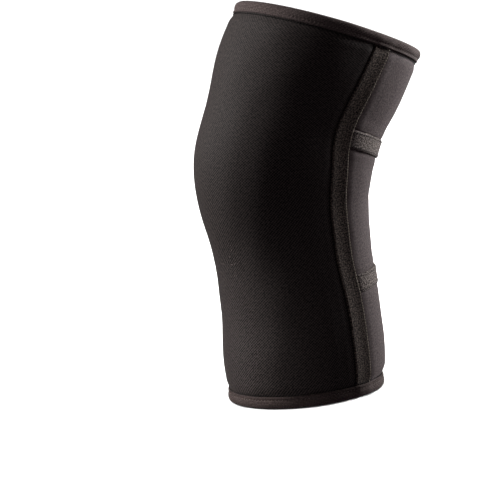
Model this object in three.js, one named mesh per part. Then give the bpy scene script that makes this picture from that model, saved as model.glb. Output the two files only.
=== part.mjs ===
// Knee sleeve: a thick padded tube for the leg, standing on its lower hem.
// Millimetres, +Z up, the kneecap faces -Y and +X is the leg's side.
// The calf end stands upright and the thigh end leans back over it, as on a slightly bent leg.
import * as THREE from 'three';

// Driving dimensions
const LENGTH = 291;            // along the leg, over both bindings
const FLEX = 24;               // degrees that the thigh end leans back
const THIGH_DEPTH = 142;       // front to back, outside
const KNEE_DEPTH = 134;
const CALF_DEPTH = 118;
const WALL = 7;                // padded fabric
const FRONT_ROUNDNESS = 2;     // exponent of the section's front half, 2 is an ellipse
const BACK_ROUNDNESS = 2.3;    // more than 2 is fuller at the corners and flatter behind
const SEAM_TAPE_WIDTH = 14;
const BACK_TAPE_WIDTH = 14;
const TAPE_THICKNESS = 1;
const LOWER_SEAM_RISE = 86;    // the lower back seam, up from the lower hem
const UPPER_SEAM_DROP = 83;    // the upper back seam, down from the upper hem
const BINDING_HEIGHT = 9.5;
const BINDING_THICKNESS = 1.4;
const BINDING_ROUND = 2.6;     // radius of a binding's outer corners
const HEM_PINCH = 1.2;         // how deep a binding presses into each side of the wall
const HEM_TAPER = 9;           // over which the wall swells back to its full thickness
const GAP = 0.3;               // clearance between neighbouring pieces

// Mesh density
const FRONT_COLUMNS = 26;
const BACK_COLUMNS = 18;
const TAPE_COLUMNS = 2;
const ROW_HEIGHT = 9;          // most that a row of a panel or seam tape is high
const CORNER_STEPS = 3;
const SPINE_STEPS = 300;

// Sections up the leg. `at` and `bend` are shares of LENGTH and FLEX. `front`, `back` and `width`
// are shares of the size that the section follows: forwards and backwards from the middle line,
// and from side to side. `seam` is the side seam's place in degrees round from the front.
const SECTIONS = [
  { at: 0.00, bend: 0.00, size: CALF_DEPTH, front: 0.492, back: 0.515, width: 0.950, seam: 112.5 },
  { at: 0.12, bend: -0.02, size: CALF_DEPTH, front: 0.504, back: 0.540, width: 1.000, seam: 110.5 },
  { at: 0.25, bend: -0.10, size: CALF_DEPTH, front: 0.477, back: 0.538, width: 0.976, seam: 110.5 },
  { at: 0.38, bend: -0.05, size: CALF_DEPTH, front: 0.480, back: 0.532, width: 0.962, seam: 107 },
  { at: 0.50, bend: 0.03, size: KNEE_DEPTH, front: 0.473, back: 0.478, width: 0.892, seam: 104 },
  { at: 0.60, bend: 0.69, size: KNEE_DEPTH, front: 0.534, back: 0.476, width: 0.946, seam: 100.7 },
  { at: 0.72, bend: 0.96, size: KNEE_DEPTH, front: 0.524, back: 0.476, width: 0.960, seam: 95.8 },
  { at: 0.86, bend: 1.00, size: THIGH_DEPTH, front: 0.506, back: 0.518, width: 0.968, seam: 100 },
  { at: 1.00, bend: 1.00, size: THIGH_DEPTH, front: 0.460, back: 0.562, width: 0.966, seam: 107 },
];

// Value of a table column, smoothly between its rows
function column(read, at) {
  const last = SECTIONS.length - 1;
  const share = THREE.MathUtils.clamp(at, SECTIONS[0].at, SECTIONS[last].at);
  let low = 0;
  while (low < last - 1 && share > SECTIONS[low + 1].at) low += 1;
  const rows = [Math.max(low - 1, 0), low, low + 1, Math.min(low + 2, last)].map((i) => SECTIONS[i]);
  const [before, start, end, after] = rows;
  const span = end.at - start.at;
  const startSlope = (read(end) - read(before)) / (end.at - before.at);
  const endSlope = (read(after) - read(start)) / (after.at - start.at);
  const t = (share - start.at) / span;
  const rise = read(end) - read(start);
  const first = startSlope * span;
  const second = endSlope * span;
  const cubic = first + second - 2 * rise;
  const square = 3 * rise - 2 * first - second;
  return read(start) + t * (first + t * (square + t * cubic));
}

const bendAt = (at) => THREE.MathUtils.degToRad(FLEX * column((row) => row.bend, at));
const seamAt = (along) => column((row) => row.seam, along / LENGTH);

// The middle line of the leg: it leans back as the bend grows
function makeSpine() {
  const points = [new THREE.Vector3()];
  const step = LENGTH / SPINE_STEPS;
  for (let i = 0; i < SPINE_STEPS; i += 1) {
    const bend = bendAt((i + 0.5) / SPINE_STEPS);
    const move = new THREE.Vector3(0, Math.sin(bend) * step, Math.cos(bend) * step);
    points.push(points[i].clone().add(move));
  }
  return points;
}

const SPINE = makeSpine();

function spineAt(along) {
  const place = THREE.MathUtils.clamp(along / LENGTH, 0, 1) * SPINE_STEPS;
  const index = Math.min(Math.floor(place), SPINE_STEPS - 1);
  return SPINE[index].clone().lerp(SPINE[index + 1], place - index);
}

// Distance from the middle line to the outer skin, at an angle in degrees round from the front
function radiusAt(angle, along) {
  const at = along / LENGTH;
  const turn = THREE.MathUtils.degToRad(angle);
  const ahead = Math.cos(turn) > 0;
  const depth = column((row) => row.size * (ahead ? row.front : row.back), at);
  const side = column((row) => row.size * row.width / 2, at);
  const roundness = ahead ? FRONT_ROUNDNESS : BACK_ROUNDNESS;
  const sum = Math.abs(Math.cos(turn) / depth) ** roundness + Math.abs(Math.sin(turn) / side) ** roundness;
  return sum ** (-1 / roundness);
}

// Point on the sleeve: `angle` degrees round from the front, `along` mm up the leg and
// `out` mm outside the outer skin
function skin(angle, along, out) {
  const turn = THREE.MathUtils.degToRad(angle);
  const bend = bendAt(along / LENGTH);
  const reach = radiusAt(angle, along) + out;
  const back = -reach * Math.cos(turn);
  const point = spineAt(along);
  point.x += reach * Math.sin(turn);
  point.y += back * Math.cos(bend);
  point.z -= back * Math.sin(bend);
  return point;
}

// How far the nearest binding presses the skin in: fully under it, fading out past its edge
function pinchAt(along) {
  const clear = Math.min(along, LENGTH - along) - BINDING_HEIGHT;
  return HEM_PINCH * (1 - THREE.MathUtils.smoothstep(clear, 0, HEM_TAPER));
}

// Degrees round the leg that a width in mm takes up
const degreesFor = (width, angle, along) => THREE.MathUtils.radToDeg(width / radiusAt(angle, along));

// Distance on the skin for each mm up the middle line: less than 1 inside the bend
function stretchAt(angle, along) {
  const reach = BACK_TAPE_WIDTH / 2;
  return skin(angle, along + reach, 0).distanceTo(skin(angle, along - reach, 0)) / (2 * reach);
}

function closedMesh(name, points, faces, look) {
  const geometry = new THREE.BufferGeometry();
  const positions = new Float32Array(points.flatMap((point) => point.toArray()));
  geometry.setAttribute('position', new THREE.BufferAttribute(positions, 3));
  geometry.setIndex(faces.flat());
  geometry.computeVertexNormals();
  const mesh = new THREE.Mesh(geometry, look);
  mesh.name = name;
  return mesh;
}

// Closed slab with a row of cells between each pair of `levels`. `point(share, level, face)` takes
// a share from 0 to 1 of the way round, a level and a face, 0 inside and 1 outside.
function slab(name, levels, columns, point, look) {
  const rows = levels.length - 1;
  const points = [];
  for (const level of levels) {
    for (let c = 0; c <= columns; c += 1) {
      points.push(point(c / columns, level, 0), point(c / columns, level, 1));
    }
  }
  const index = (r, c, face) => 2 * (r * (columns + 1) + c) + face;
  const faces = [];
  const quad = (a, b, c, d) => faces.push([a, b, c], [a, c, d]);
  for (let r = 0; r < rows; r += 1) {
    for (let c = 0; c < columns; c += 1) {
      quad(index(r, c, 1), index(r, c + 1, 1), index(r + 1, c + 1, 1), index(r + 1, c, 1));
      quad(index(r, c, 0), index(r + 1, c, 0), index(r + 1, c + 1, 0), index(r, c + 1, 0));
    }
    quad(index(r, 0, 0), index(r, 0, 1), index(r + 1, 0, 1), index(r + 1, 0, 0));
    quad(index(r, columns, 1), index(r, columns, 0), index(r + 1, columns, 0), index(r + 1, columns, 1));
  }
  for (let c = 0; c < columns; c += 1) {
    quad(index(0, c, 0), index(0, c + 1, 0), index(0, c + 1, 1), index(0, c, 1));
    quad(index(rows, c, 1), index(rows, c + 1, 1), index(rows, c + 1, 0), index(rows, c, 0));
  }
  return closedMesh(name, points, faces, look);
}

const mix = THREE.MathUtils.lerp;

// What the bindings leave free of the panels and of the tapes
const PANEL_FOOT = BINDING_THICKNESS + GAP;
const PANEL_HEAD = LENGTH - PANEL_FOOT;
const TAPE_FOOT = BINDING_HEIGHT + GAP;
const TAPE_HEAD = LENGTH - TAPE_FOOT;
const LOWER_SEAM = LOWER_SEAM_RISE;
const UPPER_SEAM = LENGTH - UPPER_SEAM_DROP;

// Levels up the leg that all panels and side tapes share between the bindings, so that their
// facets lie parallel, with a piece's own two ends
function levelsBetween(foot, head) {
  const free = LENGTH - 2 * BINDING_HEIGHT;
  const rows = Math.ceil(free / ROW_HEIGHT);
  const shared = Array.from({ length: rows + 1 }, (_, i) => BINDING_HEIGHT + (free * i) / rows);
  return [foot, ...shared.filter((level) => level > foot + GAP && level < head - GAP), head];
}

// Materials
const dark = (color, roughness) => new THREE.MeshStandardMaterial({ color, roughness, metalness: 0 });
const FRONT_FABRIC = dark(0x1d1b1a, 0.85);
const BACK_FABRIC = dark(0x2a2725, 0.8);
const TAPE_WEAVE = dark(0x322d29, 0.95);
const BINDING_FABRIC = dark(0x1b1918, 0.8);

// Panels

const panelOut = (along, face) => (face ? -pinchAt(along) : pinchAt(along) - WALL);

function frontPanel() {
  const point = (share, along, face) => {
    const seam = seamAt(along);
    const edge = seam - degreesFor(GAP / 2, seam, along);
    return skin(mix(-edge, edge, share), along, panelOut(along, face));
  };
  return slab('front_panel', levelsBetween(PANEL_FOOT, PANEL_HEAD), FRONT_COLUMNS, point, FRONT_FABRIC);
}

// Angle of a share of the way round the back, between edges `clear` mm behind the side seams
function backAngle(share, along, clear) {
  const seam = seamAt(along);
  const edge = seam + degreesFor(clear, seam, along);
  return mix(edge, 360 - edge, share);
}

function backPanel(name, foot, head) {
  const point = (share, along, face) => {
    return skin(backAngle(share, along, GAP / 2), along, panelOut(along, face));
  };
  return slab(name, levelsBetween(foot, head), BACK_COLUMNS, point, BACK_FABRIC);
}

// Tapes, which lie on the panels with a clearance

const tapeOut = (along, face) => GAP + TAPE_THICKNESS * face - pinchAt(along);

function seamTape(name, side) {
  const point = (share, along, face) => {
    const seam = seamAt(along);
    const half = degreesFor(SEAM_TAPE_WIDTH / 2, seam, along);
    const angle = side * seam + mix(-half, half, share);
    return skin(angle, along, tapeOut(along, face));
  };
  return slab(name, levelsBetween(TAPE_FOOT, TAPE_HEAD), TAPE_COLUMNS, point, TAPE_WEAVE);
}

// Its columns lie on those of the panels, apart from its two ends beside the side tapes
function backTape(name, seamAlong) {
  const clear = SEAM_TAPE_WIDTH / 2 + GAP;
  const point = (share, across, face) => {
    const rough = backAngle(share, seamAlong, clear);
    const along = seamAlong + across / stretchAt(rough, seamAlong);
    const panel = backAngle(share, along, GAP / 2);
    const angle = THREE.MathUtils.clamp(panel, backAngle(0, along, clear), backAngle(1, along, clear));
    return skin(angle, along, tapeOut(along, face));
  };
  const half = BACK_TAPE_WIDTH / 2;
  return slab(name, [-half, 0, half], BACK_COLUMNS, point, TAPE_WEAVE);
}

// Bindings: a tape folded over the hem, as a closed profile swept round the leg. In the profile
// `up` is mm from the hem's end into the sleeve and `out` is mm outside the pressed skin.

function bindingProfile() {
  const outerFace = GAP;
  const innerFace = 2 * HEM_PINCH - WALL - GAP;
  const outside = outerFace + BINDING_THICKNESS;
  const inside = innerFace - BINDING_THICKNESS;
  const turns = Array.from({ length: CORNER_STEPS + 1 }, (_, i) => (Math.PI / 2) * (i / CORNER_STEPS));
  const innerCorner = turns.map((turn) => ({
    up: BINDING_ROUND * (1 - Math.sin(turn)),
    out: inside + BINDING_ROUND * (1 - Math.cos(turn)),
  }));
  const outerCorner = turns.map((turn) => ({
    up: BINDING_ROUND * (1 - Math.cos(turn)),
    out: outside - BINDING_ROUND * (1 - Math.sin(turn)),
  }));
  return [
    { up: BINDING_HEIGHT, out: inside },
    ...innerCorner,
    ...outerCorner,
    { up: BINDING_HEIGHT, out: outside },
    { up: BINDING_HEIGHT, out: outerFace },
    { up: BINDING_THICKNESS, out: outerFace },
    { up: BINDING_THICKNESS, out: innerFace },
    { up: BINDING_HEIGHT, out: innerFace },
  ];
}

// Angle of one of the ring's stations, which lie on the columns of the panels
function stationAngle(station, along) {
  const seam = seamAt(along);
  if (station < FRONT_COLUMNS) return mix(-seam, seam, station / FRONT_COLUMNS);
  return mix(seam, 360 - seam, (station - FRONT_COLUMNS) / BACK_COLUMNS);
}

function binding(name, alongOf, flip) {
  const profile = bindingProfile();
  const size = profile.length;
  const stations = FRONT_COLUMNS + BACK_COLUMNS;
  const points = [];
  const faces = [];
  for (let s = 0; s < stations; s += 1) {
    for (const { up, out } of profile) {
      points.push(skin(stationAngle(s, alongOf(up)), alongOf(up), out - HEM_PINCH));
    }
    const next = (s + 1) % stations;
    for (let k = 0; k < size; k += 1) {
      const a = s * size + k;
      const b = s * size + ((k + 1) % size);
      const c = next * size + ((k + 1) % size);
      const d = next * size + k;
      if (flip) faces.push([a, c, b], [a, d, c]);
      else faces.push([a, b, c], [a, c, d]);
    }
  }
  return closedMesh(name, points, faces, BINDING_FABRIC);
}

// Assembly, moved so that the origin is under the middle of the box, on the floor

const sleeve = new THREE.Group();
sleeve.add(
  frontPanel(),
  backPanel('back_panel_lower', PANEL_FOOT, LOWER_SEAM - GAP / 2),
  backPanel('back_panel_middle', LOWER_SEAM + GAP / 2, UPPER_SEAM - GAP / 2),
  backPanel('back_panel_upper', UPPER_SEAM + GAP / 2, PANEL_HEAD),
  seamTape('seam_tape_right', 1),
  seamTape('seam_tape_left', -1),
  backTape('back_tape_lower', LOWER_SEAM),
  backTape('back_tape_upper', UPPER_SEAM),
  binding('bottom_binding', (up) => up, true),
  binding('top_binding', (up) => LENGTH - up, false),
);

const box = new THREE.Box3().setFromObject(sleeve);
const middle = box.getCenter(new THREE.Vector3());
sleeve.position.set(-middle.x, -middle.y, -box.min.z);

export default sleeve;
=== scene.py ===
# Knee sleeve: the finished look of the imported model, in metres, +Z up, the kneecap facing -Y
import math
from collections import namedtuple

import bpy
import numpy as np
from mathutils import Matrix, Vector


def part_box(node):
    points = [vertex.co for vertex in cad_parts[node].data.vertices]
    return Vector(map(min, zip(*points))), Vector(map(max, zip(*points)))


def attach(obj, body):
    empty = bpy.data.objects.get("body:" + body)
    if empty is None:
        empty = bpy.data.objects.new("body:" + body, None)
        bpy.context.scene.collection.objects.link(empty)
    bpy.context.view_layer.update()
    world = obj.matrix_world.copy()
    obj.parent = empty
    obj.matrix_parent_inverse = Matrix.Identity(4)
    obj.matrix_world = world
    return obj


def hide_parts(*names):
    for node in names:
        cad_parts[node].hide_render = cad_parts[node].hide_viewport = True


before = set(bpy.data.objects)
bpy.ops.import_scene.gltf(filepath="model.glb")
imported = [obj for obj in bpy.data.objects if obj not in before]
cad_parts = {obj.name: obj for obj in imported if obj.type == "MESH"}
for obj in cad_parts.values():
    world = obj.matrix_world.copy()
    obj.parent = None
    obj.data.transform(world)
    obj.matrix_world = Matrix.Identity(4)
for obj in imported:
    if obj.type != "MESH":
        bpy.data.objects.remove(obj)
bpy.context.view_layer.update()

MM = 0.001

# Driving dimensions, the same as the construction's
LENGTH = 291 * MM              # along the leg, over both bindings
FLEX = math.radians(24)        # how far the thigh end leans back
THIGH_DEPTH = 142 * MM         # front to back, outside
KNEE_DEPTH = 134 * MM
CALF_DEPTH = 118 * MM
WALL = 7 * MM
FRONT_ROUNDNESS = 2.0
BACK_ROUNDNESS = 2.3
SEAM_TAPE_WIDTH = 14 * MM
BACK_TAPE_WIDTH = 14 * MM
LOWER_SEAM = 86 * MM
UPPER_SEAM = LENGTH - 83 * MM
BINDING_HEIGHT = 9.5 * MM
HEM_PINCH = 1.2 * MM           # how far a binding presses the panels in
HEM_TAPER = 9 * MM             # the press fades out over this length
PANEL_FOOT = 1.7 * MM          # the panels start this far inside the bindings
SEAM_GAP = 0.3 * MM

# The foam's swell behind the knee and the calf
BACK_SWELL = 1.2 * MM
SWELL_TURN = 20                # degrees from a side seam to the full swell
SWELL_ABOVE_HEM = 10 * MM      # from the lower binding to the full swell
SWELL_PAST_SEAM = 14 * MM      # past the upper cross seam, where the swell ends
SWELL_FADE = 20 * MM

# How finely lines are followed: the leg's middle, lines up the leg or across it, and lines round it
SPINE_STEPS = 300
LINE_STEPS = 400
ROUND_STEPS = 720

# Sections up the leg: `at` and `bend` are shares of the length and of the flex; front, back and
# width are shares of the size; seam is degrees round from the front
COLUMNS = ("at", "bend", "size", "front", "back", "width", "seam")
SECTIONS = np.array([
    (0.00, 0.00, CALF_DEPTH, 0.492, 0.515, 0.950, 112.5),
    (0.12, -0.02, CALF_DEPTH, 0.504, 0.540, 1.000, 110.5),
    (0.25, -0.10, CALF_DEPTH, 0.477, 0.538, 0.976, 110.5),
    (0.38, -0.05, CALF_DEPTH, 0.480, 0.532, 0.962, 107.0),
    (0.50, 0.03, KNEE_DEPTH, 0.473, 0.478, 0.892, 104.0),
    (0.60, 0.69, KNEE_DEPTH, 0.534, 0.476, 0.946, 100.7),
    (0.72, 0.96, KNEE_DEPTH, 0.524, 0.476, 0.960, 95.8),
    (0.86, 1.00, THIGH_DEPTH, 0.506, 0.518, 0.968, 100.0),
    (1.00, 1.00, THIGH_DEPTH, 0.460, 0.562, 0.966, 107.0),
])
TABLE = dict(zip(COLUMNS, SECTIONS.T))
FRONT_REACH = TABLE["size"] * TABLE["front"]
BACK_REACH = TABLE["size"] * TABLE["back"]
SIDE_REACH = TABLE["size"] * TABLE["width"] / 2


# Shape of the leg

def column(values, at):
    """Smooth curve through a column of the table, read at shares of the length."""
    knots = TABLE["at"]
    at = np.clip(at, 0, 1)
    start = np.clip(np.searchsorted(knots, at, side="right") - 1, 0, len(knots) - 2)
    end = start + 1
    before = np.maximum(start - 1, 0)
    after = np.minimum(end + 1, len(knots) - 1)
    span = knots[end] - knots[start]
    first = (values[end] - values[before]) / (knots[end] - knots[before]) * span
    second = (values[after] - values[start]) / (knots[after] - knots[start]) * span
    rise = values[end] - values[start]
    t = (at - knots[start]) / span
    square = 3 * rise - 2 * first - second
    cubic = first + second - 2 * rise
    return values[start] + t * (first + t * (square + t * cubic))


def bend_at(along):
    """How far the middle line leans back, in radians."""
    return FLEX * column(TABLE["bend"], along / LENGTH)


def seam_at(along):
    """Where the side seams are, in degrees round from the front."""
    return column(TABLE["seam"], along / LENGTH)


def make_spine():
    """Middle line of the leg, as the levels, places back and heights of its steps."""
    step = LENGTH / SPINE_STEPS
    bend = bend_at((np.arange(SPINE_STEPS) + 0.5) * step)
    levels = np.arange(SPINE_STEPS + 1) * step
    back = np.concatenate([[0], np.cumsum(np.sin(bend) * step)])
    height = np.concatenate([[0], np.cumsum(np.cos(bend) * step)])
    return levels, back, height


SPINE = make_spine()


def radius_at(angle, along):
    """Distance from the middle line to the outer skin, `angle` degrees round from the front."""
    turn = np.radians(angle)
    at = along / LENGTH
    ahead = np.cos(turn) > 0
    depth = np.where(ahead, column(FRONT_REACH, at), column(BACK_REACH, at))
    roundness = np.where(ahead, FRONT_ROUNDNESS, BACK_ROUNDNESS)
    across = np.abs(np.sin(turn) / column(SIDE_REACH, at)) ** roundness
    return (np.abs(np.cos(turn) / depth) ** roundness + across) ** (-1 / roundness)


def centred_skin(angle, along, out):
    """Points on the sleeve, `out` outside its skin, with the middle line's foot at the origin."""
    angle, along, out = np.broadcast_arrays(angle, along, out)
    turn = np.radians(angle)
    bend = bend_at(along)
    reach = radius_at(angle, along) + out
    back = -reach * np.cos(turn)
    levels, spine_back, spine_height = SPINE
    y = np.interp(along, levels, spine_back) + back * np.cos(bend)
    z = np.interp(along, levels, spine_height) - back * np.sin(bend)
    return np.stack([reach * np.sin(turn), y, z], axis=-1)


def smooth(share):
    """Soft step from 0 to 1."""
    share = np.clip(share, 0, 1)
    return share * share * (3 - 2 * share)


def pinch_at(along):
    """How far the nearest binding presses the skin in."""
    clear = np.minimum(along, LENGTH - along) - BINDING_HEIGHT
    return HEM_PINCH * (1 - smooth(clear / HEM_TAPER))


def seat_in_frame():
    """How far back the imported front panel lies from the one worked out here."""
    along = np.linspace(PANEL_FOOT, LENGTH - PANEL_FOOT, LINE_STEPS)
    front = centred_skin(0, along, -pinch_at(along))[:, 1].min()
    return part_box("front_panel")[0].y - front


SEAT = np.array([0, seat_in_frame(), 0])


def folded_angle(angle):
    """Degrees round from the front on either side, from 0 to 180."""
    return np.abs((angle + 180) % 360 - 180)


def back_swell(angle, along):
    """Swell of the back, none at the side seams, at the bindings and at the thigh."""
    behind = smooth((folded_angle(angle) - seam_at(along)) / SWELL_TURN)
    above_hem = smooth((along - BINDING_HEIGHT) / SWELL_ABOVE_HEM)
    below_thigh = smooth((UPPER_SEAM + SWELL_PAST_SEAM - along) / SWELL_FADE)
    return BACK_SWELL * behind * above_hem * below_thigh


def skin(angle, along, out):
    """Points on the sleeve where it stands in the frame, `out` outside its skin."""
    return centred_skin(angle, along, out + back_swell(angle, along)) + SEAT


def degrees_for(width, angle, along):
    """Degrees round the leg that a width takes up."""
    return np.degrees(width / radius_at(angle, along))


def stretch_at(angle, along):
    """Distance on the skin for each metre up the middle line: less than 1 inside the bend."""
    reach = BACK_TAPE_WIDTH / 2
    apart = skin(angle, along + reach, 0) - skin(angle, along - reach, 0)
    return np.linalg.norm(apart, axis=-1) / (2 * reach)


# Small relief

LUMP_WAVES = 9
LUMP_LENGTHS = (1.4, 3.2)      # shortest and longest wave, in lump sizes
LUMP_GAIN = 1.6
GRAIN_PERIOD = 256             # cells before the grain repeats


def bell(distance, width):
    return np.exp(-((distance / width) ** 2))


def lumps(x, y, size, seed):
    """Smooth random relief from -1 to 1, with lumps of about `size`."""
    rng = np.random.default_rng(seed)
    total = np.zeros(np.broadcast(x, y).shape)
    for _ in range(LUMP_WAVES):
        heading = rng.uniform(0, math.pi)
        length = size * rng.uniform(*LUMP_LENGTHS)
        phase = rng.uniform(0, 2 * math.pi)
        total += np.sin(2 * math.pi * (x * math.cos(heading) + y * math.sin(heading)) / length + phase)
    return total / LUMP_WAVES * LUMP_GAIN


def grain(x, y, size, seed):
    """Random relief from 0 to 1 on a lattice of cells of `size`, blended between them."""
    rng = np.random.default_rng(seed)
    lattice = rng.random((GRAIN_PERIOD, GRAIN_PERIOD))
    col, row = x / size, y / size
    c0, r0 = np.floor(col).astype(int), np.floor(row).astype(int)
    s, t = smooth(col - c0), smooth(row - r0)
    c1, r1 = (c0 + 1) % GRAIN_PERIOD, (r0 + 1) % GRAIN_PERIOD
    c0, r0 = c0 % GRAIN_PERIOD, r0 % GRAIN_PERIOD
    low = lattice[r0, c0] * (1 - s) + lattice[r0, c1] * s
    high = lattice[r1, c0] * (1 - s) + lattice[r1, c1] * s
    return low * (1 - t) + high * t


def arc_lengths(points, axis):
    """Length along one axis of a grid of points, from its first row or column."""
    steps = np.linalg.norm(np.diff(points, axis=axis), axis=-1)
    start = np.zeros_like(np.take(steps, [0], axis=axis))
    return np.concatenate([start, np.cumsum(steps, axis=axis)], axis=axis)


# Meshes

SHARP_ANGLE = math.radians(50)
MARK_REACH = 2.5 * MM          # rows lie closer together this far on both sides of a mark
FINE_STEP = 0.5 * MM


def cloth_object(name, points, faces, cloth, material):
    """Smooth object. `cloth` is each point's place on the flat cloth, which the weave follows."""
    mesh = bpy.data.meshes.new(name)
    mesh.from_pydata(points.tolist(), [], faces)
    place = mesh.attributes.new("cloth", "FLOAT_VECTOR", "POINT")
    flat = np.concatenate([cloth, np.zeros((len(cloth), 1))], axis=1)
    place.data.foreach_set("vector", flat.ravel())
    mesh.shade_smooth()
    mesh.materials.append(material)
    piece = bpy.data.objects.new(name, mesh)
    bpy.context.scene.collection.objects.link(piece)
    return piece


def signed_volume(points, quads):
    """Volume inside the quads, below zero where they face inwards."""
    a, b, c, d = (points[quads[:, corner]] for corner in range(4))
    first = np.einsum("ij,ij->i", a, np.cross(b, c))
    return (first + np.einsum("ij,ij->i", a, np.cross(c, d))).sum() / 6


def solid_from_loops(name, loops, cloth, material, closed=False):
    """Closed mesh through loops of points. An open row of loops is capped between its two faces."""
    count, size = loops.shape[:2]
    index = np.arange(count * size).reshape(count, size)
    ahead = np.roll(index, -1, axis=0)
    beside = np.roll(index, -1, axis=1)
    both = np.roll(ahead, -1, axis=1)
    rows = count if closed else count - 1
    quads = np.stack([index, beside, both, ahead], axis=-1)[:rows].reshape(-1, 4)
    if not closed:
        half = size // 2
        outer = np.arange(half - 1)
        inner = size - 1 - outer
        foot = np.stack([outer + 1, outer, inner, inner - 1], axis=-1)
        quads = np.concatenate([quads, foot, foot[:, ::-1] + (count - 1) * size])
    points = loops.reshape(-1, 3)
    if signed_volume(points, quads) < 0:
        quads = quads[:, ::-1]
    piece = cloth_object(name, points, quads.tolist(), cloth.reshape(-1, 2), material)
    piece.data.set_sharp_from_angle(angle=SHARP_ANGLE)
    return piece


def slab(name, outer, inner, material):
    """Closed slab between two grids of points, rows up the leg and columns round it."""
    loops = np.concatenate([outer, inner[:, ::-1]], axis=1)
    round_leg = arc_lengths(outer, 1)
    round_leg = round_leg - round_leg[:, [round_leg.shape[1] // 2]]
    up_leg = arc_lengths(outer, 0)
    flat = np.stack([round_leg, up_leg], axis=-1)
    cloth = np.concatenate([flat, flat[:, ::-1]], axis=1)
    return solid_from_loops(name, loops, cloth, material)


def spread(foot, head, step, marks=()):
    """Places from foot to head, `step` apart and closer together round the marks."""
    even = np.linspace(foot, head, math.ceil((head - foot) / step) + 1)
    close = [np.arange(mark - MARK_REACH, mark + MARK_REACH, FINE_STEP) for mark in marks]
    places = np.sort(np.concatenate([even, *close]))
    keep = [foot]
    for place in places:
        if place - keep[-1] > FINE_STEP / 2 and head - place > FINE_STEP / 2:
            keep.append(place)
    return np.array(keep + [head])


# Materials

class Fabric:
    """A material's node tree, with short calls for the nodes that fabrics need."""

    def __init__(self, name, roughness, specular, sheen, sheen_roughness, sheen_tint):
        self.material = bpy.data.materials.new(name)
        self.material.use_nodes = True
        self.tree = self.material.node_tree
        self.shader = self.tree.nodes["Principled BSDF"]
        self.shader.inputs["Roughness"].default_value = roughness
        self.shader.inputs["Specular IOR Level"].default_value = specular
        self.shader.inputs["Sheen Weight"].default_value = sheen
        self.shader.inputs["Sheen Roughness"].default_value = sheen_roughness
        self.shader.inputs["Sheen Tint"].default_value = (*sheen_tint, 1)
        place = self.tree.nodes.new("ShaderNodeAttribute")
        place.attribute_name = "cloth"
        self.cloth = place.outputs["Vector"]

    def feed(self, node, socket, value):
        """Links another node's output to a socket, or sets the socket to a plain value."""
        if isinstance(value, bpy.types.NodeSocket):
            self.tree.links.new(value, node.inputs[socket])
        else:
            node.inputs[socket].default_value = value

    def math(self, operation, first, second=0.0, third=0.0):
        node = self.tree.nodes.new("ShaderNodeMath")
        node.operation = operation
        for socket, value in enumerate((first, second, third)):
            self.feed(node, socket, value)
        return node.outputs[0]

    def across(self, heading):
        """Distance over the cloth along a heading, in degrees from straight round the leg."""
        node = self.tree.nodes.new("ShaderNodeVectorMath")
        node.operation = "DOT_PRODUCT"
        turn = math.radians(heading)
        self.feed(node, 0, self.cloth)
        node.inputs[1].default_value = (math.cos(turn), math.sin(turn), 0)
        return node.outputs["Value"]

    def wave(self, heading, pitch):
        """Ribs from -1 to 1, `pitch` apart, that run at right angles to the heading."""
        turns = self.math("MULTIPLY", self.across(heading), 2 * math.pi / pitch)
        return self.math("SINE", turns)

    def noise(self, size, detail, rough):
        """Random relief from 0 to 1 with grains of about `size`."""
        node = self.tree.nodes.new("ShaderNodeTexNoise")
        self.feed(node, "Vector", self.cloth)
        node.inputs["Scale"].default_value = 1 / size
        node.inputs["Detail"].default_value = detail
        node.inputs["Roughness"].default_value = rough
        return node.outputs["Fac"]

    def limited(self, value, low, high):
        """A value from `low` to `high`, mapped to 0 to 1."""
        node = self.tree.nodes.new("ShaderNodeMapRange")
        self.feed(node, "Value", value)
        node.inputs["From Min"].default_value = low
        node.inputs["From Max"].default_value = high
        return node.outputs["Result"]

    def colour(self, share, dark, light):
        """Base colour from dark at share 0 to light at 1, by the mixer's two colour sockets."""
        node = self.tree.nodes.new("ShaderNodeMix")
        node.data_type = "RGBA"
        self.tree.links.new(share, node.inputs[0])
        node.inputs[6].default_value = (*dark, 1)
        node.inputs[7].default_value = (*light, 1)
        self.tree.links.new(node.outputs[2], self.shader.inputs["Base Color"])

    def bump(self, height, distance):
        """Relief `distance` deep where the height goes from 1 to 0."""
        node = self.tree.nodes.new("ShaderNodeBump")
        node.inputs["Strength"].default_value = 1.0
        node.inputs["Distance"].default_value = distance
        self.tree.links.new(height, node.inputs["Height"])
        self.tree.links.new(node.outputs["Normal"], self.shader.inputs["Normal"])


def make_front_fabric():
    """Black satin knit with two sets of fine diagonal ribs."""
    fabric = Fabric("front_fabric", roughness=0.75, specular=0.12, sheen=0.02, sheen_roughness=0.35,
                    sheen_tint=(0.95, 0.86, 0.80))
    slant = 48
    pitch = 1.6 * MM
    weak_rib = 0.19
    strong_rib = 0.31
    unevenness = 1.6
    weak = fabric.math("MULTIPLY_ADD", fabric.wave(slant, pitch), weak_rib, 0.5)
    height = fabric.math("MULTIPLY_ADD", fabric.wave(-slant, pitch), strong_rib, weak)
    uneven = fabric.noise(1.8 * MM, detail=2.0, rough=0.7)
    centred = fabric.math("SUBTRACT", height, unevenness / 2)
    share = fabric.limited(fabric.math("MULTIPLY_ADD", uneven, unevenness, centred), low=0.2, high=0.8)
    fabric.colour(share, dark=(0.0006, 0.0005, 0.0005), light=(0.0445, 0.0345, 0.0320))
    fabric.bump(height, 0.036 * MM)
    return fabric.material


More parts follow.
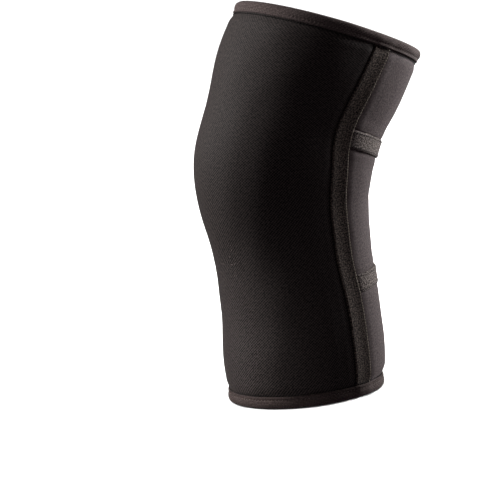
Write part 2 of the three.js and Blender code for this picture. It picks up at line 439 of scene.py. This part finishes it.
def make_back_fabric():
    """Charcoal jersey: smooth, with a fine grain and a soft mottle."""
    fabric = Fabric("back_fabric", roughness=0.85, specular=0.12, sheen=0.03, sheen_roughness=0.5,
                    sheen_tint=(0.95, 0.86, 0.86))
    pitch = 0.9 * MM
    rib = 0.15
    ribs = fabric.math("MULTIPLY", fabric.wave(0, pitch), fabric.wave(60, pitch))
    mottle = fabric.noise(1.8 * MM, detail=4.0, rough=0.8)
    height = fabric.math("MULTIPLY_ADD", ribs, rib, mottle)
    share = fabric.limited(height, low=0.34, high=0.66)
    fabric.colour(share, dark=(0.0118, 0.0083, 0.0084), light=(0.0760, 0.0538, 0.0542))
    fabric.bump(height, 0.25 * MM)
    return fabric.material


def make_tape_weave(name, dark, light):
    """Brushed tape: short tangled pile in olive charcoal."""
    fabric = Fabric(name, roughness=0.95, specular=0.1, sheen=0.03, sheen_roughness=0.6,
                    sheen_tint=(0.95, 0.86, 0.76))
    pile = fabric.noise(1.25 * MM, detail=2.0, rough=0.75)
    share = fabric.limited(pile, low=0.455, high=0.575)
    fabric.colour(share, dark, light)
    fabric.bump(pile, 0.4 * MM)
    return fabric.material


def make_binding_fabric(name, dark, light):
    """Soft binding tape with a fine nap."""
    fabric = Fabric(name, roughness=0.9, specular=0.08, sheen=0.01, sheen_roughness=0.5,
                    sheen_tint=(0.95, 0.84, 0.80))
    rib = 0.12
    nap = fabric.noise(1.1 * MM, detail=4.0, rough=0.7)
    ribs = fabric.wave(90, 1.1 * MM)
    height = fabric.math("MULTIPLY_ADD", ribs, rib, nap)
    share = fabric.limited(height, low=0.38, high=0.68)
    fabric.colour(share, dark, light)
    fabric.bump(height, 0.3 * MM)
    return fabric.material


def make_thread(name, dark, light):
    """Twisted thread."""
    fabric = Fabric(name, roughness=0.8, specular=0.1, sheen=0.02, sheen_roughness=0.4,
                    sheen_tint=(1, 0.95, 0.9))
    ply = fabric.wave(35, 0.5 * MM)
    share = fabric.limited(ply, low=-1, high=1)
    fabric.colour(share, dark, light)
    fabric.bump(share, 0.05 * MM)
    return fabric.material


FRONT_FABRIC = make_front_fabric()
BACK_FABRIC = make_back_fabric()
TAPE_WEAVE = make_tape_weave(
    "tape_weave", dark=(0.0045, 0.0034, 0.0031), light=(0.096, 0.0740, 0.0635))
CROSS_TAPE_WEAVE = make_tape_weave(
    "cross_tape_weave", dark=(0.0165, 0.0135, 0.0126), light=(0.172, 0.143, 0.132))
# Both bindings are one cloth. The top copy is painted lighter, which is painted light, and the foot copy is
# painted darker, which is painted shade, for how the lamps fall on the two ends.
TOP_BINDING_PAINTED_LIGHT = make_binding_fabric(
    "top_binding_painted_light", dark=(0.021, 0.0158, 0.0150), light=(0.122, 0.0920, 0.0875))
FOOT_BINDING_PAINTED_SHADE = make_binding_fabric(
    "foot_binding_painted_shade", dark=(0.0147, 0.0105, 0.0098), light=(0.088, 0.0635, 0.0590))
LIGHT_THREAD = make_thread("light_thread", dark=(0.19, 0.165, 0.14), light=(0.46, 0.40, 0.33))
HEM_THREAD = make_thread("hem_thread", dark=(0.09, 0.078, 0.066), light=(0.24, 0.21, 0.18))
DARK_THREAD = make_thread("dark_thread", dark=(0.004, 0.0035, 0.0035), light=(0.022, 0.019, 0.018))


# Panels

PANEL_STEP = 2.2 * MM
FRONT_COLUMNS = 92             # between the zones at the panel's two edges
BACK_COLUMNS = 62
GROOVE = 1.3 * MM              # depth of the crease beside a side tape
GROOVE_WIDTH = 0.6 * MM
CROSS_GROOVE = 0.45 * MM       # beside the cross tapes and the bindings
PUFF = 0.35 * MM               # how far the foam swells next to a crease
PUFF_AWAY = 5 * MM
PUFF_WIDTH = 0.6 * PUFF_AWAY
EDGE_LINE = SEAM_TAPE_WIDTH / 2 + 0.35 * MM
CROSS_LINE = BACK_TAPE_WIDTH / 2 + 0.5 * MM
BINDING_LINE = BINDING_HEIGHT + 0.5 * MM
EDGE_ZONE = 18 * MM            # columns keep their distance from the seam up to here
DENT = 0.22 * MM               # the soft unevenness of a panel's face
DENT_SIZE = 14 * MM


def crease(distance, depth):
    """Relief beside a sewn edge: a narrow crease at distance 0 and a soft swell after it."""
    swell = PUFF * bell(distance - PUFF_AWAY, PUFF_WIDTH)
    return swell - depth * bell(distance, GROOVE_WIDTH)


def panel_relief(beside_seam, along, crossing, seed):
    """Relief of a panel's outer face, from distances to the seam, the bindings and cross seams."""
    relief = -pinch_at(along) + crease(beside_seam - EDGE_LINE, GROOVE)
    relief += crease(np.minimum(along, LENGTH - along) - BINDING_LINE, CROSS_GROOVE)
    for seam_along in crossing:
        relief += crease(np.abs(along - seam_along) - CROSS_LINE, CROSS_GROOVE)
    return relief + DENT * lumps(beside_seam, along, DENT_SIZE, seed)


def columns_between(seam, far, along, middle):
    """Angles from one seam round to the other, with fixed distances in the zones at both edges."""
    marks = spread(SEAM_GAP / 2, EDGE_ZONE, PANEL_STEP, [EDGE_LINE])
    near_edge = seam + np.sign(far - seam) * degrees_for(marks, seam, along)
    far_edge = far - np.sign(far - seam) * degrees_for(marks[::-1], far, along)
    inner = np.linspace(0, 1, middle + 2)[1:-1]
    start, end = near_edge[:, -1:], far_edge[:, :1]
    return np.concatenate([near_edge, start + (end - start) * inner, far_edge], axis=1)


def panel(name, foot, head, front, material, crossing, seed):
    """Padded panel between the side seams, `crossing` being the cross seams that it meets."""
    marks = [BINDING_LINE, LENGTH - BINDING_LINE]
    marks += [place + side * CROSS_LINE for place in crossing for side in (-1, 1)]
    along = spread(foot, head, PANEL_STEP, marks)[:, None]
    seam = seam_at(along)
    if front:
        angles = columns_between(-seam, seam, along, FRONT_COLUMNS)
        beside = np.radians(seam - np.abs(angles)) * radius_at(seam, along)
    else:
        angles = columns_between(seam, 360 - seam, along, BACK_COLUMNS)
        beside = np.radians(180 - seam - np.abs(angles - 180)) * radius_at(seam, along)
    outer = skin(angles, along, panel_relief(beside, along, crossing, seed))
    inner = skin(angles, along, pinch_at(along) - WALL)
    return slab(name, outer, inner, material)


# Tapes

TAPE_STEP = 0.7 * MM
SIDE_TAPE_COLUMNS = 31
CROSS_TAPE_ROWS = 29
CROSS_TAPE_COLUMNS = 230
TAPE_RISE = 1.25 * MM          # how far a tape stands above the panels
TAPE_BED = 0.05 * MM
TAPE_TUCK = 1.2 * MM           # how far the side tapes run in under the bindings
TAPE_DIP = 0.6 * MM            # how far a side tape sinks along its middle
TAPE_SQUARENESS = 14           # how near to its edges the top of a tape stays level
TAPE_EDGE = 0.03               # its edges keep the square root of this share of the rise
CROSS_CLEARANCE = 0.1 * MM     # between a cross tape and a side tape
CROSS_SINK = 0.8 * MM          # how far a cross tape sinks where it meets a side tape
CROSS_SINK_REACH = 2 * MM
FUZZ = 0.18 * MM
FUZZ_SIZE = 0.9 * MM
CROSS_FUZZ_START = 0.2         # metres, which keeps places on a cross tape's grain above zero
EDGE_WAVER = 0.28 * MM
EDGE_WAVER_SIZE = 5 * MM
CROSS_WAVER_TURN = 0.012       # the same on a cross tape, as a share of a turn round the leg
WAVER_POWER = 4                # keeps the waver to a tape's edges


def shares_across(count):
    """Places across a tape, -1 and 1 at its edges and closer together towards them."""
    even = np.linspace(-0.5, 0.5, count)
    return np.sin(np.linspace(-math.pi / 2, math.pi / 2, count)) * 0.5 + even


def edge_waver(shares, places, size, seed):
    """How far the cloth of a tape wavers across it, at `places` along it."""
    waver = EDGE_WAVER * lumps(places, 0 * places, size, seed)
    return waver * np.abs(shares) ** WAVER_POWER * np.sign(shares)


def tape_top(across, half, dip, fuzz):
    """Height of a tape over its bed: rounded edges and a shallow valley along its middle."""
    share = np.clip(np.abs(across) / half, 0, 1)
    dome = np.sqrt(np.maximum(1 - share ** TAPE_SQUARENESS, TAPE_EDGE))
    return TAPE_RISE * dome - dip * (1 - share ** 2) + FUZZ * (fuzz - 0.5) * dome


def seam_tape(name, side, seed):
    """Tape over a side seam, `side` 1 or -1."""
    along = spread(BINDING_HEIGHT - TAPE_TUCK, LENGTH - BINDING_HEIGHT + TAPE_TUCK, TAPE_STEP)[:, None]
    half = SEAM_TAPE_WIDTH / 2
    shares = shares_across(SIDE_TAPE_COLUMNS)[None, :]
    across = shares * half + 0 * along
    seam = seam_at(along)
    wavering = across + edge_waver(shares, along, EDGE_WAVER_SIZE, seed)
    angles = side * (seam + degrees_for(wavering, seam, along))
    bed = TAPE_BED - pinch_at(along)
    fuzz = grain(across + half, along, FUZZ_SIZE, seed)
    outer = skin(angles, along, bed + tape_top(across, half, TAPE_DIP, fuzz))
    inner = skin(angles, along, bed)
    return slab(name, outer, inner, TAPE_WEAVE)


def cross_angles(share, along):
    """Angles from one side tape round the back to the other, at shares of the way."""
    seam = seam_at(along)
    edge = seam + degrees_for(SEAM_TAPE_WIDTH / 2 + CROSS_CLEARANCE, seam, along)
    return edge + (360 - 2 * edge) * share


def cross_tape(name, seam_along, seed):
    """Tape over a cross seam, from one side tape round the back to the other."""
    half = BACK_TAPE_WIDTH / 2
    shares = shares_across(CROSS_TAPE_ROWS)[:, None]
    round_back = np.linspace(0, 1, CROSS_TAPE_COLUMNS)[None, :]
    level = cross_angles(round_back, seam_along)
    across = shares * half + edge_waver(shares, level / 360, CROSS_WAVER_TURN, seed)
    along = seam_along + across / stretch_at(level, seam_along)
    angles = cross_angles(round_back, along)
    bed = TAPE_BED - pinch_at(along)
    length = np.radians(level - 180) * radius_at(180, seam_along)
    fuzz = grain(length + CROSS_FUZZ_START, across + half, FUZZ_SIZE, seed)
    sink = CROSS_SINK * bell(length[:, -1:] - np.abs(length), CROSS_SINK_REACH)
    outer = skin(angles, along, bed + tape_top(across, half, 0, fuzz) - sink)
    inner = skin(angles, along, bed)
    return slab(name, outer, inner, CROSS_TAPE_WEAVE)


# Bindings

# Points round a binding in mm: up from the hem's end into the sleeve, and out from the pressed skin
BINDING_PROFILE = [
    (9.5, 0.5), (9.25, 1.05), (8.5, 1.35), (7.1, 1.1), (5.6, 1.75), (3.6, 2.05), (1.7, 1.6),
    (0.45, 0.35), (0.0, -1.5), (0.0, -3.2), (0.45, -5.0), (1.7, -6.2), (3.6, -6.6), (5.6, -6.35),
    (7.1, -5.8), (8.5, -6.15), (9.25, -5.9), (9.5, -5.3), (9.3, -4.95), (5.6, -4.95), (1.8, -4.8),
    (1.8, 0.15), (5.6, 0.3), (9.3, 0.3),
]
PROFILE_STEPS = 3              # between two points of the profile
PROFILE_TENSION = 0.4
RING_STEP = 0.9 * MM
STITCH_UP = 7.1 * MM
STITCH_PITCH = 3 * MM
PUCKER = 0.16 * MM             # how far a stitch pulls the cloth in
PUCKER_WIDTH = 1.6 * MM
SLACK = 0.16 * MM              # soft unevenness
SLACK_SIZE = 9 * MM
SLACK_ACROSS = 3               # how much faster it changes across the binding than round it
NAP = 0.10 * MM
NAP_SIZE = 0.9 * MM
NAP_ACROSS = 2
OUTER_FACE = 0.4 * MM          # cloth that is further out than this is on the outer face
END_FADE = 2 * MM              # the relief grows over this height from the hem's end
TAPE_LIFT = 1.0 * MM           # the binding's rise where it crosses a side tape
LIFT_INSET = 3 * MM            # the rise starts to fade this far inside the tape's edge
LIFT_FADE = 8 * MM
LIFT_HEIGHT = 6 * MM           # the rise grows over this height from the hem's end


def rounded_profile(points):
    """Closed smooth curve through the points."""
    points = np.array(points) * MM
    before, after = np.roll(points, 1, axis=0), np.roll(points, -1, axis=0)
    beyond = np.roll(points, -2, axis=0)
    t = (np.arange(PROFILE_STEPS) / PROFILE_STEPS)[None, :, None]
    p0, p1, p2, p3 = (group[:, None, :] for group in (before, points, after, beyond))
    first, second = (p2 - p0) * PROFILE_TENSION, (p3 - p1) * PROFILE_TENSION
    rise = p2 - p1
    curve = p1 + t * (first + t * (3 * rise - 2 * first - second + t * (first + second - 2 * rise)))
    return curve.reshape(-1, 2)


def ring_angles(along):
    """Evenly spaced angles round the ring, and its girth."""
    rough = np.linspace(0, 360, ROUND_STEPS + 1)
    lengths = arc_lengths(skin(rough, along, 0), 0)
    girth = lengths[-1]
    count = round(girth / RING_STEP)
    return np.interp(np.arange(count) / count * girth, lengths, rough), girth


def binding_lift(angle, along, up):
    """Extra height over the two side tapes."""
    seam = seam_at(along)
    beside = np.abs(np.radians(folded_angle(angle) - seam)) * radius_at(seam, along)
    over = 1 - smooth((beside - SEAM_TAPE_WIDTH / 2 + LIFT_INSET) / LIFT_FADE)
    return TAPE_LIFT * over * smooth(up / LIFT_HEIGHT)


def binding(name, top, seed):
    """Tape folded over an open end, and the girth of that end."""
    profile = rounded_profile(BINDING_PROFILE)
    up, out = profile[:, 0][None, :], profile[:, 1][None, :]
    along = LENGTH - up if top else up
    angles, girth = ring_angles(LENGTH if top else 0.0)
    angles = angles[:, None]
    length = (np.arange(len(angles)) * RING_STEP)[:, None]
    outer_flank = np.where(out > -HEM_PINCH, 1.0, 0.0)
    inner_flank = np.where(out < 2 * HEM_PINCH - WALL, 1.0, 0.0)
    stitched = bell(up - STITCH_UP, PUCKER_WIDTH)
    pucker = -PUCKER * stitched * np.cos(2 * math.pi * length / STITCH_PITCH)
    slack = SLACK * lumps(length, up * SLACK_ACROSS, SLACK_SIZE, seed)
    nap = NAP * (grain(length, up * NAP_ACROSS, NAP_SIZE, seed) - 0.5)
    relief = (outer_flank - inner_flank) * (pucker + slack + nap) * smooth(up / END_FADE)
    lift = np.where(out > OUTER_FACE, binding_lift(angles, along, up), 0)
    loops = skin(angles, along, out - HEM_PINCH + lift + relief)
    cloth = np.stack([length + 0 * up, arc_lengths(loops, 1)], axis=-1)
    # painted light on the top binding, painted shade on the foot binding
    material = TOP_BINDING_PAINTED_LIGHT if top else FOOT_BINDING_PAINTED_SHADE
    return solid_from_loops(name, loops, cloth, material, closed=True), girth


# Stitches

# `out` is how far they lie outside the skin, `sink` is how far their ends dip as a share of the
# radius, and `slant` is how many degrees they turn from their row
Stitch = namedtuple("Stitch", "pitch length radius out sink slant thread")
EDGE_STITCH = Stitch(
    pitch=2.2 * MM, length=2.0 * MM, radius=0.28 * MM, out=1.2 * MM, sink=0.7, slant=0, thread=LIGHT_THREAD)
# Near-black stitches in the crease in front of a side tape: a row of stitches, and also painted shade that
# darkens the crease's shadow line
FRONT_STITCH_AND_PAINTED_SHADE = Stitch(
    pitch=2.6 * MM, length=2.4 * MM, radius=0.24 * MM, out=0.1 * MM, sink=0.7, slant=0, thread=DARK_THREAD)
CROSS_STITCH = Stitch(
    pitch=2.4 * MM, length=2.2 * MM, radius=0.42 * MM, out=1.2 * MM, sink=1, slant=0, thread=DARK_THREAD)
HEM_STITCH = Stitch(
    pitch=STITCH_PITCH, length=1.3 * MM, radius=0.24 * MM, out=1.05 * MM, sink=0.8, slant=0,
    thread=HEM_THREAD)
UNDER_STITCH = Stitch(
    pitch=2.4 * MM, length=2.1 * MM, radius=0.32 * MM, out=0.3 * MM, sink=0.8, slant=30, thread=DARK_THREAD)
STITCH_SIDES = 6
STITCH_RINGS = 7
STITCH_TAPER = 3               # how near to its ends a stitch stays thick
STITCH_END = 0.04              # its ends keep the square root of this share of the radius
SEAM_ROW_AHEAD = 0.1 * MM      # the rows of a side tape lie this far in front of its edges
CROSS_ROW_INSET = 1.7 * MM     # the rows of a cross tape lie this far inside its edges
CROSS_ROW_START = 1 * MM       # and start this far from the side tape
UNDER_ROW_UP = BINDING_HEIGHT + 1.2 * MM


def stitch_row(name, points, outward, stitch):
    """One mesh of short stitches laid along a row of points, each arched over the fabric."""
    forward = np.gradient(points, axis=0)
    forward /= np.linalg.norm(forward, axis=1, keepdims=True)
    outward = outward / np.linalg.norm(outward, axis=1, keepdims=True)
    side = np.cross(outward, forward)
    turn = math.radians(stitch.slant)
    heading = forward * math.cos(turn) + side * math.sin(turn)
    side = np.cross(outward, heading)
    share = np.linspace(-1, 1, STITCH_RINGS)
    thick = stitch.radius * np.sqrt(np.maximum(1 - np.abs(share) ** STITCH_TAPER, STITCH_END))
    turns = np.arange(STITCH_SIDES) * 2 * math.pi / STITCH_SIDES
    run = share[:, None] * stitch.length / 2 + 0 * turns
    dip = stitch.sink * stitch.radius * share[:, None] ** 2
    height = thick[:, None] * np.sin(turns) - dip
    beside = thick[:, None] * np.cos(turns)
    shape = run[None, ..., None] * heading[:, None, None]
    shape = shape + height[None, ..., None] * outward[:, None, None]
    shape = shape + beside[None, ..., None] * side[:, None, None] + points[:, None, None]
    count = len(points)
    ring = np.arange(STITCH_RINGS * STITCH_SIDES).reshape(STITCH_RINGS, STITCH_SIDES)
    beside_ring = np.roll(ring, -1, axis=1)
    quads = np.stack([ring[:-1], beside_ring[:-1], beside_ring[1:], ring[1:]], axis=-1).reshape(-1, 4)
    offsets = (np.arange(count) * ring.size)[:, None, None]
    faces = (quads[None] + offsets).reshape(-1, 4).tolist()
    for base in range(0, count * ring.size, ring.size):
        faces.append((ring[0][::-1] + base).tolist())
        faces.append((ring[-1] + base).tolist())
    along = (np.arange(count)[:, None, None] * stitch.length + run[None]).ravel()
    round_thread = (0 * run + thick.max() * turns)[None].repeat(count, axis=0).ravel()
    cloth = np.stack([along, round_thread], axis=-1)
    return cloth_object(name, shape.reshape(-1, 3), faces, cloth, stitch.thread)


def even_steps(points, values, pitch):
    """Values read at even distances along a line of points."""
    lengths = arc_lengths(points, 0)
    count = int(lengths[-1] / pitch)
    places = (np.arange(count) + 0.5) * lengths[-1] / count
    return [np.interp(places, lengths, value) for value in values]


def outward_at(angle, along, out):
    """Step of 1 mm out of the skin."""
    return skin(angle, along, out + MM) - skin(angle, along, out)


def seam_stitches(name, side, across, stitch):
    """A row up a side tape, `across` behind the seam."""
    along = np.linspace(BINDING_HEIGHT, LENGTH - BINDING_HEIGHT, LINE_STEPS)
    seam = seam_at(along)
    angle = side * (seam + degrees_for(across, seam, along))
    angle, along = even_steps(skin(angle, along, stitch.out), (angle, along), stitch.pitch)
    out = stitch.out - pinch_at(along)
    return stitch_row(name, skin(angle, along, out), outward_at(angle, along, out), stitch)


def cross_stitches(name, seam_along, across, stitch):
    """A row across the back, `across` above the cross seam."""
    seam = seam_at(seam_along)
    edge = seam + degrees_for(SEAM_TAPE_WIDTH / 2 + CROSS_ROW_START, seam, seam_along)
    angle = np.linspace(edge, 360 - edge, LINE_STEPS)
    along = seam_along + across / stretch_at(angle, seam_along)
    angle, along = even_steps(skin(angle, along, stitch.out), (angle, along), stitch.pitch)
    points = skin(angle, along, stitch.out)
    return stitch_row(name, points, outward_at(angle, along, stitch.out), stitch)


def binding_stitches(name, top, up, stitch):
    """A row round a binding, `up` from the hem's end."""
    along = np.full(ROUND_STEPS, LENGTH - up if top else up)
    angle = np.linspace(0, 360, ROUND_STEPS)
    lengths = arc_lengths(skin(angle, along, stitch.out), 0)
    count = round(lengths[-1] / stitch.pitch)
    angle = np.interp(np.arange(count) * lengths[-1] / count, lengths, angle)
    along = along[:count]
    out = stitch.out - HEM_PINCH + binding_lift(angle, along, up)
    return stitch_row(name, skin(angle, along, out), outward_at(angle, along, out), stitch)


# Assembly

SIDES = {"right": 1, "left": -1}
CROSS_SEAMS = {"lower": LOWER_SEAM, "upper": UPPER_SEAM}
IS_TOP = {"bottom": False, "top": True}

# Seeds of the random relief, the first one of each kind of piece
FRONT_SEED = 11
BACK_SEED = 21
SIDE_TAPE_SEED = 31
CROSS_TAPE_SEED = 33
BINDING_SEED = 41


def add_piece(piece, node):
    """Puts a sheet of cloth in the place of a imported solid."""
    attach(piece, "root")
    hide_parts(node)


def add_thread(piece):
    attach(piece, "root")


def build_panels():
    half_gap = SEAM_GAP / 2
    head = LENGTH - PANEL_FOOT
    front = panel("front_padding", PANEL_FOOT, head, True, FRONT_FABRIC, (), FRONT_SEED)
    add_piece(front, "front_panel")
    spans = {
        "lower": (PANEL_FOOT, LOWER_SEAM - half_gap, (LOWER_SEAM,)),
        "middle": (LOWER_SEAM + half_gap, UPPER_SEAM - half_gap, (LOWER_SEAM, UPPER_SEAM)),
        "upper": (UPPER_SEAM + half_gap, head, (UPPER_SEAM,)),
    }
    for seed, (part, (foot, top, crossing)) in enumerate(spans.items(), BACK_SEED):
        piece = panel(f"back_padding_{part}", foot, top, False, BACK_FABRIC, crossing, seed)
        add_piece(piece, f"back_panel_{part}")


def build_tapes():
    for seed, (name, side) in enumerate(SIDES.items(), SIDE_TAPE_SEED):
        piece = seam_tape(f"side_tape_{name}", side, seed)
        add_piece(piece, f"seam_tape_{name}")
    for seed, (name, seam_along) in enumerate(CROSS_SEAMS.items(), CROSS_TAPE_SEED):
        piece = cross_tape(f"cross_tape_{name}", seam_along, seed)
        add_piece(piece, f"back_tape_{name}")


def build_bindings():
    for seed, (name, top) in enumerate(IS_TOP.items(), BINDING_SEED):
        piece, girth = binding(f"{name}_hem", top, seed)
        add_piece(piece, f"{name}_binding")


def build_threads():
    edge = SEAM_TAPE_WIDTH / 2
    for name, side in SIDES.items():
        add_thread(seam_stitches(f"edge_thread_{name}", side, edge - SEAM_ROW_AHEAD, EDGE_STITCH))
        # the front rows' near-black thread is stitching, and also painted shade along the crease
        add_thread(seam_stitches(f"front_thread_and_painted_shade_{name}", side, -edge - SEAM_ROW_AHEAD, FRONT_STITCH_AND_PAINTED_SHADE))
    reach = BACK_TAPE_WIDTH / 2 - CROSS_ROW_INSET
    for name, seam_along in CROSS_SEAMS.items():
        for row, across in (("top", reach), ("foot", -reach)):
            add_thread(cross_stitches(f"cross_thread_{name}_{row}", seam_along, across, CROSS_STITCH))
    for name, top in IS_TOP.items():
        add_thread(binding_stitches(f"hem_thread_{name}", top, STITCH_UP, HEM_STITCH))
        add_thread(binding_stitches(f"under_thread_{name}", top, UNDER_ROW_UP, UNDER_STITCH))


# Studio

CAMERA_AZIMUTH = math.radians(60.27)
CAMERA_ELEVATION = math.radians(8.9)
CAMERA_ROLL = math.radians(-5.56)
CAMERA_DISTANCE = 2.6
CAMERA_LENS = 253              # in mm
SENSOR_WIDTH = 36              # in mm
CLIP_END = 200
LOOKED_AT = Vector((0, -0.00483, 0.150))
BESIDE_MIDDLE = 0.05195        # the sleeve stands right of and above the frame's middle
ABOVE_MIDDLE = 0.03253
FLOOR_REACH = 60
FLOOR_DROP = 0.0002            # the floor lies this far under the hem


def camera_axes():
    """Right, up and back of a camera that looks straight at the sleeve."""
    level = math.cos(CAMERA_ELEVATION)
    back = Vector((
        math.sin(CAMERA_AZIMUTH) * level, -math.cos(CAMERA_AZIMUTH) * level, math.sin(CAMERA_ELEVATION)))
    right = (-back).cross(Vector((0, 0, 1))).normalized()
    up = back.cross(right)
    turned_right = right * math.cos(CAMERA_ROLL) + up * math.sin(CAMERA_ROLL)
    return turned_right, back.cross(turned_right), back


def build_camera():
    """Camera that turns a little aside, so that the sleeve stands where it does in the photo."""
    right, up, back = camera_axes()
    place = LOOKED_AT + back * CAMERA_DISTANCE
    aim = LOOKED_AT - right * BESIDE_MIDDLE - up * ABOVE_MIDDLE
    back = (place - aim).normalized()
    right = (right - back * right.dot(back)).normalized()
    up = back.cross(right)
    data = bpy.data.cameras.new("camera")
    data.lens = CAMERA_LENS
    data.sensor_width = SENSOR_WIDTH
    data.clip_end = CLIP_END
    camera = bpy.data.objects.new("camera", data)
    turn = Matrix((right, up, back)).transposed()
    camera.matrix_world = Matrix.Translation(place) @ turn.to_4x4()
    bpy.context.scene.collection.objects.link(camera)
    bpy.context.scene.camera = camera


def add_light(name, kind, place, aim, energy):
    data = bpy.data.lights.new(name, kind)
    data.energy = energy
    light = bpy.data.objects.new(name, data)
    light.location = place
    light.rotation_euler = (aim - place).to_track_quat("-Z", "Y").to_euler()
    bpy.context.scene.collection.objects.link(light)
    return light


def add_soft_light(name, place, aim, energy, width, height, spread_angle=180):
    """Rectangular lamp, whose light leaves it within so many degrees."""
    lamp = add_light(name, "AREA", place, aim, energy).data
    lamp.shape = "RECTANGLE"
    lamp.size = width
    lamp.size_y = height
    lamp.spread = math.radians(spread_angle)


def around(azimuth, distance, height):
    """A place round the sleeve, azimuth 0 in front of the kneecap."""
    turn = math.radians(azimuth)
    return Vector((math.sin(turn) * distance, -math.cos(turn) * distance, height))


def build_lights(floor):
    """Soft lamps in front of the sleeve and behind it, and a sun that lights only the floor."""
    middle = Vector((0, 0, 0.15))
    foot = Vector((0, 0, 0.02))
    rim = Vector((0.02, 0.06, 0.31))
    add_soft_light("front_strip", around(-36, 1.7, 1.0), middle, energy=72, width=0.7, height=1.3)
    add_soft_light("low_light", around(0, 1.2, 0.12), foot, energy=0.05, width=0.3, height=0.06,
                   spread_angle=14)
    add_soft_light("back_strip", around(183, 1.7, 0.4), middle, energy=68, width=0.5, height=0.7)
    add_soft_light("rim_light", around(168, 1.3, 0.7), rim, energy=0.17, width=0.3, height=0.2,
                   spread_angle=14)
    sun = add_light("floor_light", "SUN", Vector((0, 0, 3)), middle, energy=4.2)
    sun.data.angle = math.radians(60)
    lit = bpy.data.collections.new("lit_by_floor_light")
    lit.objects.link(floor)
    sun.light_linking.receiver_collection = lit


def build_floor():
    """Plain pale floor, which throws no light back on the sleeve."""
    signs = [(-1, -1), (1, -1), (1, 1), (-1, 1)]
    corners = [(x * FLOOR_REACH, y * FLOOR_REACH, -FLOOR_DROP) for x, y in signs]
    mesh = bpy.data.meshes.new("floor")
    mesh.from_pydata(corners, [], [(0, 1, 2, 3)])
    material = bpy.data.materials.new("floor_paint")
    material.use_nodes = True
    shader = material.node_tree.nodes["Principled BSDF"]
    shader.inputs["Base Color"].default_value = (0.86, 0.86, 0.86, 1)
    shader.inputs["Roughness"].default_value = 0.9
    shader.inputs["Specular IOR Level"].default_value = 0.1
    mesh.materials.append(material)
    floor = bpy.data.objects.new("floor", mesh)
    bpy.context.scene.collection.objects.link(floor)
    floor.visible_diffuse = False
    floor.visible_glossy = False
    return floor


def build_world():
    """White background for the camera, and a dim light from all round on the sleeve."""
    world = bpy.data.worlds.new("studio")
    world.use_nodes = True
    tree = world.node_tree
    fill = tree.nodes["Background"]
    fill.inputs["Color"].default_value = (1, 0.92, 1, 1)
    fill.inputs["Strength"].default_value = 0.12
    wall = tree.nodes.new("ShaderNodeBackground")
    wall.inputs["Color"].default_value = (1, 1, 1, 1)
    wall.inputs["Strength"].default_value = 1.0
    path = tree.nodes.new("ShaderNodeLightPath")
    mix = tree.nodes.new("ShaderNodeMixShader")
    tree.links.new(path.outputs["Is Camera Ray"], mix.inputs["Fac"])
    tree.links.new(fill.outputs["Background"], mix.inputs[1])
    tree.links.new(wall.outputs["Background"], mix.inputs[2])
    tree.links.new(mix.outputs["Shader"], tree.nodes["World Output"].inputs["Surface"])
    bpy.context.scene.world = world
    bpy.context.scene.view_settings.view_transform = "Standard"


build_panels()
build_tapes()
build_bindings()
build_threads()
build_camera()
build_lights(build_floor())
build_world()
